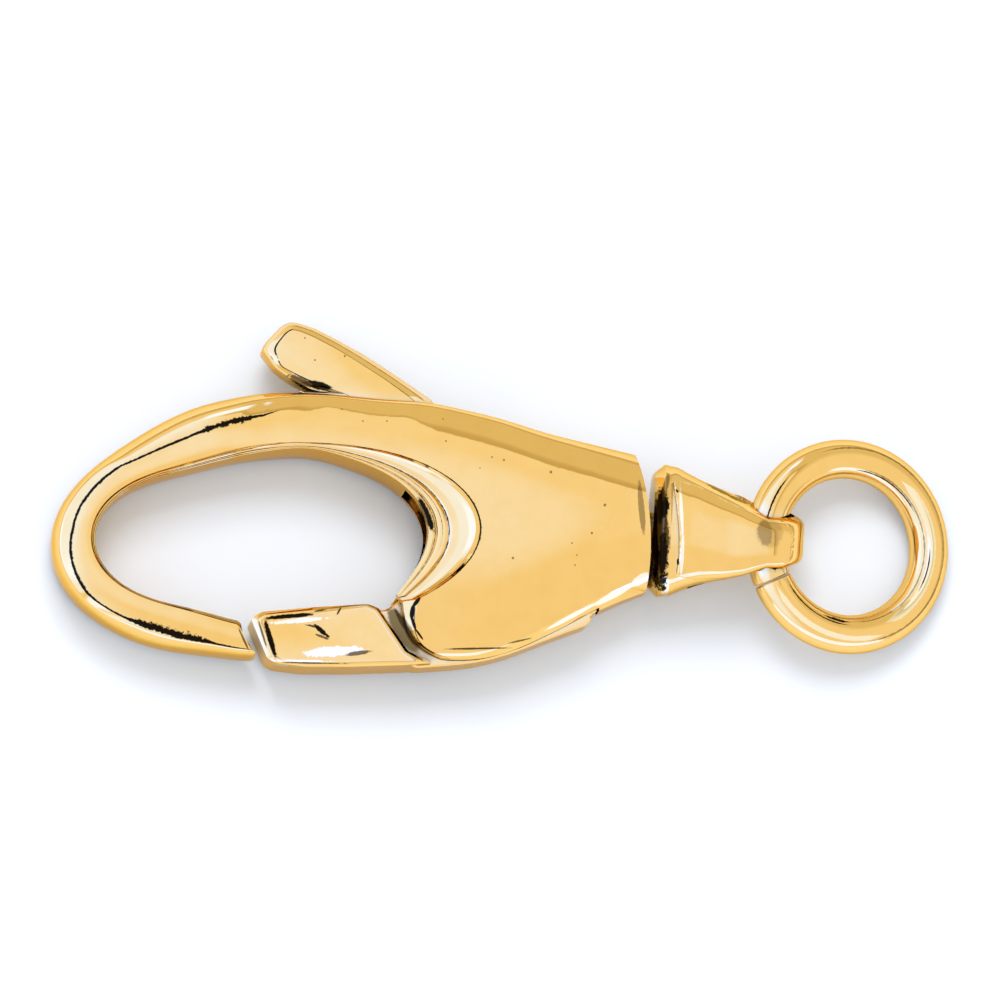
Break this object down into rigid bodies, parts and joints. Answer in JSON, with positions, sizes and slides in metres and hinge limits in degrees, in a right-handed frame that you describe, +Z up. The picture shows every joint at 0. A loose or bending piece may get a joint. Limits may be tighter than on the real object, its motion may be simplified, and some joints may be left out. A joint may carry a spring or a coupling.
{
  "type": "swivel lobster clasp",
  "caption": "Cast gold lobster clasp with a sprung lever that closes a teardrop eye, a swivelling folded bail at the other end and a round jump ring through it.",
  "frame": {"origin": "on the table below the middle of the clasp's whole length and breadth, lying as it rests by itself", "axes": "+X along the clasp from the hook to the jump ring, +Y across it towards the trigger, +Z up from the table"},
  "size_m": [0.0302, 0.0116, 0.0037],
  "materials": {
    "cast_gold": "cast gold, polished bright",
    "gold_wire": "drawn gold wire, polished bright"
  },
  "bodies": {
    "clasp_body": {"body": "cast_gold", "pivot_pin": "cast_gold"},
    "lever": {"lever": "cast_gold"},
    "bail": {"bail": "cast_gold"},
    "jump_ring": {"jump_ring": "gold_wire"}
  },
  "joints": [
    {"name": "lever_hinge", "type": "hinge", "parent": "clasp_body", "child": "lever", "pos_m": [0.00061, -0.00208, 0.00185], "axis": [0.0363, 0, -0.9993], "range_deg": [0, 19], "stiffness_Nm_per_rad": 0.03, "springref_deg": -2.86},
    {"name": "bail_swivel", "type": "hinge", "parent": "clasp_body", "child": "bail", "pos_m": [0.00481, -0.00108, 0.002], "axis": [0.9968, -0.0715, 0.0362], "continuous": true},
    {"name": "ring_hinge", "type": "hinge", "parent": "bail", "child": "jump_ring", "pos_m": [0.00876, -0.00136, 0.00214], "axis": [0.0714, 0.9974, 0.0026], "range_deg": [-112, 78]}
  ]
}
